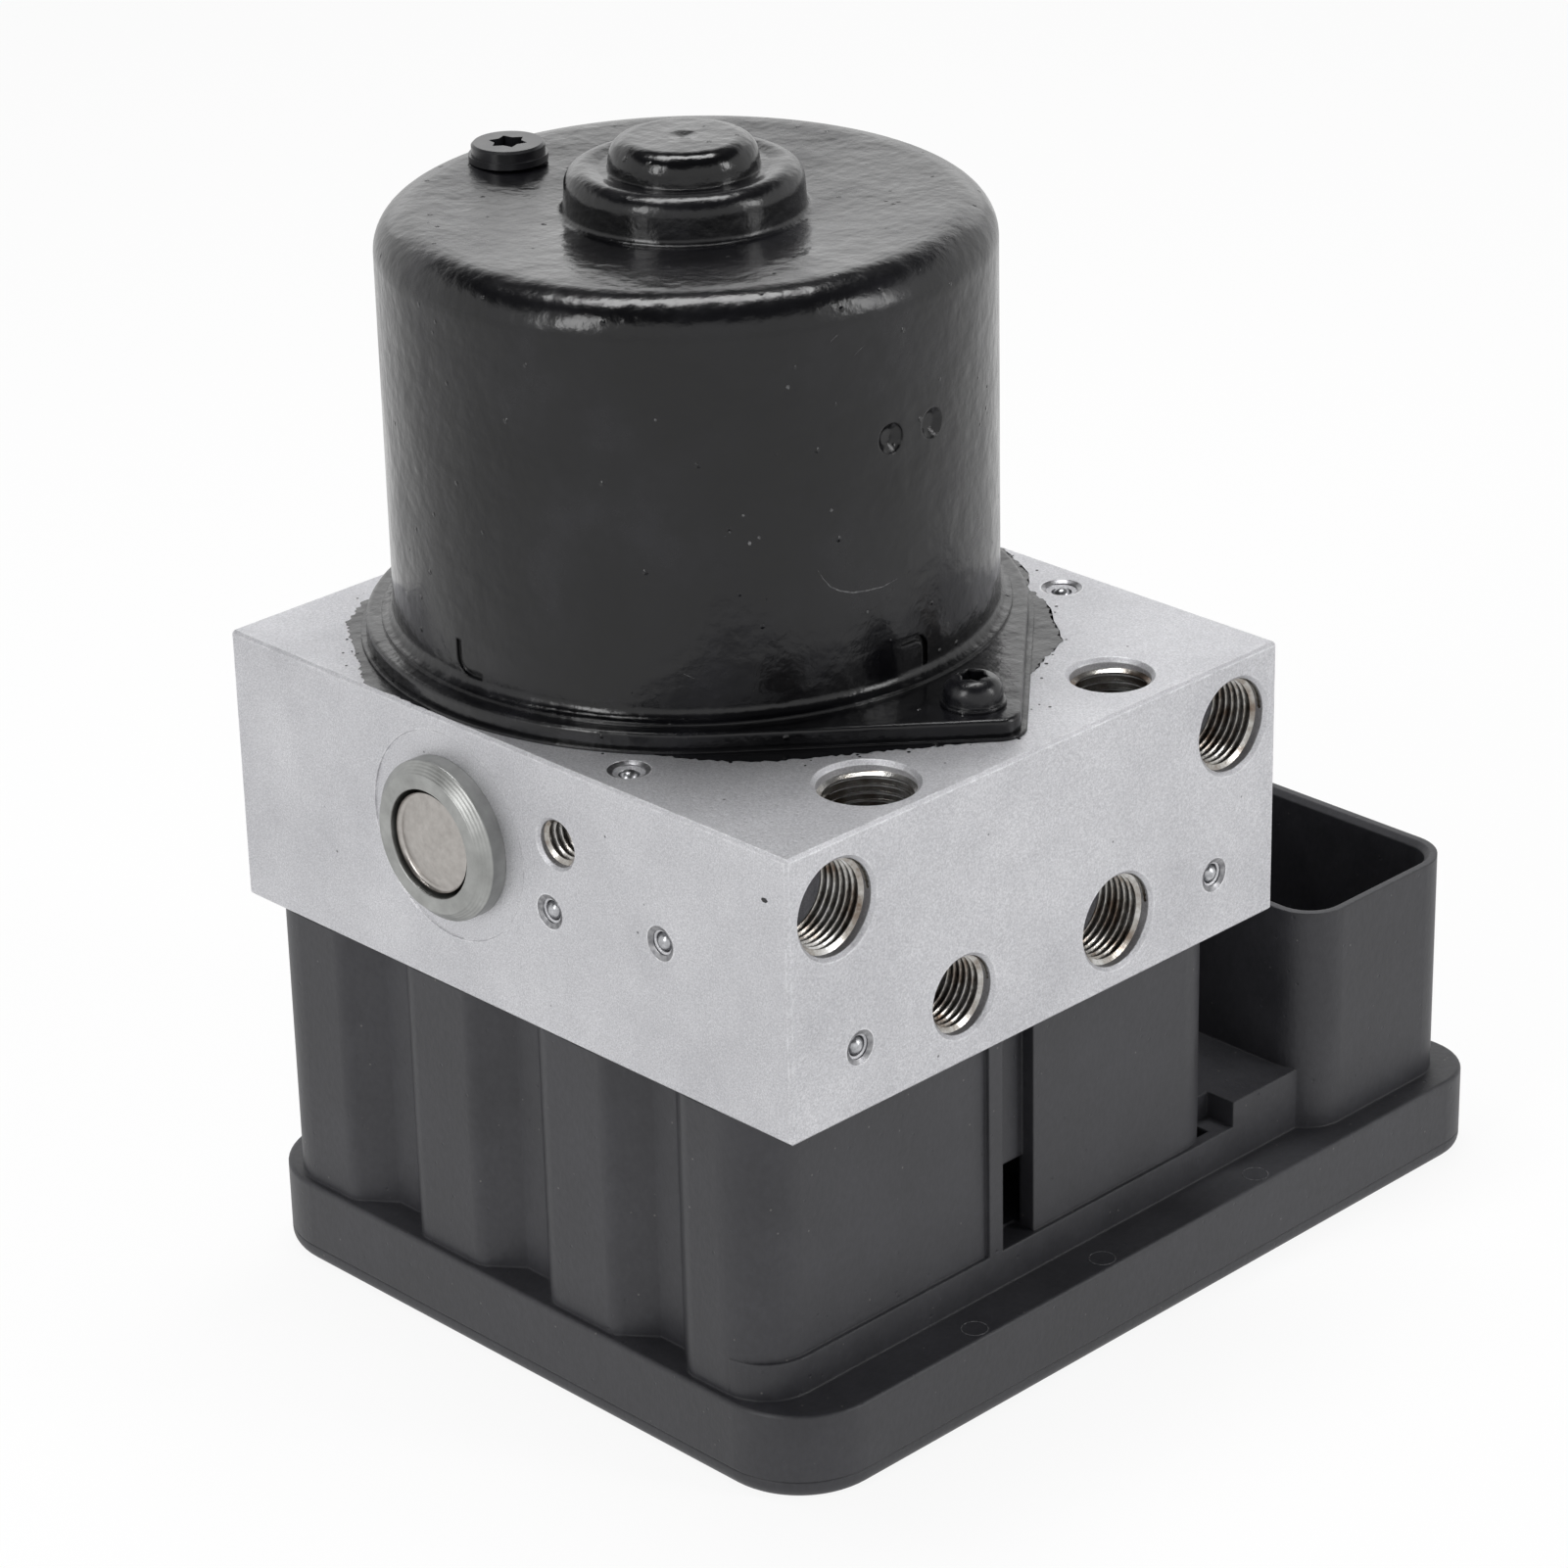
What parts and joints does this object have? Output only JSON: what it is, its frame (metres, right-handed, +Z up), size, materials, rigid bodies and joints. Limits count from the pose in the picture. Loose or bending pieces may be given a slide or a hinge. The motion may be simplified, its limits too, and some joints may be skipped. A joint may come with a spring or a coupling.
{
  "type": "abs brake module",
  "caption": "Anti-lock brake module: drilled aluminium valve block with threaded pipe ports, pump motor on top and electronic control unit with open connector shroud below.",
  "frame": {"origin": "centre of the overall box at the cover's underside, where the module stands", "axes": "+Z up along the motor's axis towards its dome, -Y out of the face with four pipe ports, +X towards the connector shroud"},
  "size_m": [0.1336, 0.1018, 0.1501],
  "materials": {
    "block_aluminium": "blasted, machined aluminium alloy",
    "can_paint": "semi-gloss black paint on drawn steel",
    "housing_plastic": "glass-filled black plastic with a satin skin",
    "cover_plastic": "glass-filled black plastic",
    "zinc_plate": "zinc plated steel",
    "stainless": "bright turned stainless steel",
    "hard_steel": "polished hardened steel",
    "black_steel": "black coated steel screw",
    "spring_steel": "bright spring wire",
    "core_steel": "stacked electrical steel sheet",
    "magnet_ferrite": "sintered ferrite, dark grey",
    "copper": "enamelled copper wire and bars",
    "carbon": "pressed carbon",
    "moulding": "glass-filled thermoset moulding",
    "vent_plastic": "black plastic with a slight shine",
    "gasket_sheet": "thin coated gasket sheet",
    "seal_foam": "soft closed-cell seal",
    "board": "green laminate board",
    "tin_plate": "tin plated copper contacts"
  },
  "bodies": {
    "module": {"valve_block": "block_aluminium", "closing_balls": "hard_steel", "motor_housing": "can_paint", "motor_gasket": "gasket_sheet", "motor_screws": "black_steel", "motor_vent_plug": "vent_plastic", "upper_bearing": "hard_steel", "lower_bearing": "hard_steel", "brush_holder": "moulding", "brush_left": "carbon", "brush_right": "carbon", "motor_lead": "moulding", "inlet_valve_bodies": "stainless", "outlet_valve_bodies": "stainless", "inlet_coils": "copper", "outlet_coils": "copper", "ecu_housing": "housing_plastic", "ecu_cover": "cover_plastic", "circuit_board": "board", "ecu_seal": "seal_foam", "ecu_screws": "zinc_plate", "connector_pins": "tin_plate", "field_magnet_1": "magnet_ferrite", "field_magnet_2": "magnet_ferrite", "field_magnet_3": "magnet_ferrite", "field_magnet_4": "magnet_ferrite", "pump_ring_left": "zinc_plate", "pump_cap_left": "stainless", "pump_sleeve_left": "hard_steel", "pump_spring_left": "spring_steel", "accumulator_spring_left": "spring_steel", "accumulator_cap_left": "zinc_plate", "pump_ring_right": "zinc_plate", "pump_cap_right": "stainless", "pump_sleeve_right": "hard_steel", "pump_spring_right": "spring_steel", "accumulator_spring_right": "spring_steel", "accumulator_cap_right": "zinc_plate"},
    "rotor": {"armature_shaft": "hard_steel", "armature_core": "core_steel", "armature_winding": "copper", "commutator": "copper", "eccentric_bearing": "hard_steel"},
    "pump_piston_left": {"pump_piston_left": "hard_steel"},
    "accumulator_piston_left": {"accumulator_piston_left": "block_aluminium"},
    "pump_piston_right": {"pump_piston_right": "hard_steel"},
    "accumulator_piston_right": {"accumulator_piston_right": "block_aluminium"},
    "inlet_armature_1": {"inlet_armature_1": "core_steel"},
    "inlet_armature_2": {"inlet_armature_2": "core_steel"},
    "inlet_armature_3": {"inlet_armature_3": "core_steel"},
    "inlet_armature_4": {"inlet_armature_4": "core_steel"},
    "outlet_armature_1": {"outlet_armature_1": "core_steel"},
    "outlet_armature_2": {"outlet_armature_2": "core_steel"},
    "outlet_armature_3": {"outlet_armature_3": "core_steel"},
    "outlet_armature_4": {"outlet_armature_4": "core_steel"}
  },
  "joints": [
    {"name": "motor_spin", "type": "hinge", "parent": "module", "child": "rotor", "pos_m": [-0.021, 0.00755, 0.072], "axis": [0, 0, 1], "continuous": true},
    {"name": "pump_stroke_left", "type": "slide", "parent": "module", "child": "pump_piston_left", "axis": [-1, 0, 0], "range_m": [0, 0.0016], "stiffness_N_per_m": 1500, "deforming": ["pump_spring_left"]},
    {"name": "accumulator_stroke_left", "type": "slide", "parent": "module", "child": "accumulator_piston_left", "axis": [0, 1, 0], "range_m": [0, 0.008], "stiffness_N_per_m": 500, "deforming": ["accumulator_spring_left"]},
    {"name": "pump_stroke_right", "type": "slide", "parent": "module", "child": "pump_piston_right", "axis": [1, 0, 0], "range_m": [0, 0.0016], "stiffness_N_per_m": 1500, "deforming": ["pump_spring_right"]},
    {"name": "accumulator_stroke_right", "type": "slide", "parent": "module", "child": "accumulator_piston_right", "axis": [0, 1, 0], "range_m": [0, 0.008], "stiffness_N_per_m": 500, "deforming": ["accumulator_spring_right"]},
    {"name": "inlet_valve_stroke_1", "type": "slide", "parent": "module", "child": "inlet_armature_1", "axis": [0, 0, 1], "range_m": [0, 0.0003], "stiffness_N_per_m": 2000},
    {"name": "inlet_valve_stroke_2", "type": "slide", "parent": "module", "child": "inlet_armature_2", "axis": [0, 0, 1], "range_m": [0, 0.0003], "stiffness_N_per_m": 2000},
    {"name": "inlet_valve_stroke_3", "type": "slide", "parent": "module", "child": "inlet_armature_3", "axis": [0, 0, 1], "range_m": [0, 0.0003], "stiffness_N_per_m": 2000},
    {"name": "inlet_valve_stroke_4", "type": "slide", "parent": "module", "child": "inlet_armature_4", "axis": [0, 0, 1], "range_m": [0, 0.0003], "stiffness_N_per_m": 2000},
    {"name": "outlet_valve_stroke_1", "type": "slide", "parent": "module", "child": "outlet_armature_1", "axis": [0, 0, -1], "range_m": [0, 0.0003], "stiffness_N_per_m": 2000},
    {"name": "outlet_valve_stroke_2", "type": "slide", "parent": "module", "child": "outlet_armature_2", "axis": [0, 0, -1], "range_m": [0, 0.0003], "stiffness_N_per_m": 2000},
    {"name": "outlet_valve_stroke_3", "type": "slide", "parent": "module", "child": "outlet_armature_3", "axis": [0, 0, -1], "range_m": [0, 0.0003], "stiffness_N_per_m": 2000},
    {"name": "outlet_valve_stroke_4", "type": "slide", "parent": "module", "child": "outlet_armature_4", "axis": [0, 0, -1], "range_m": [0, 0.0003], "stiffness_N_per_m": 2000}
  ]
}
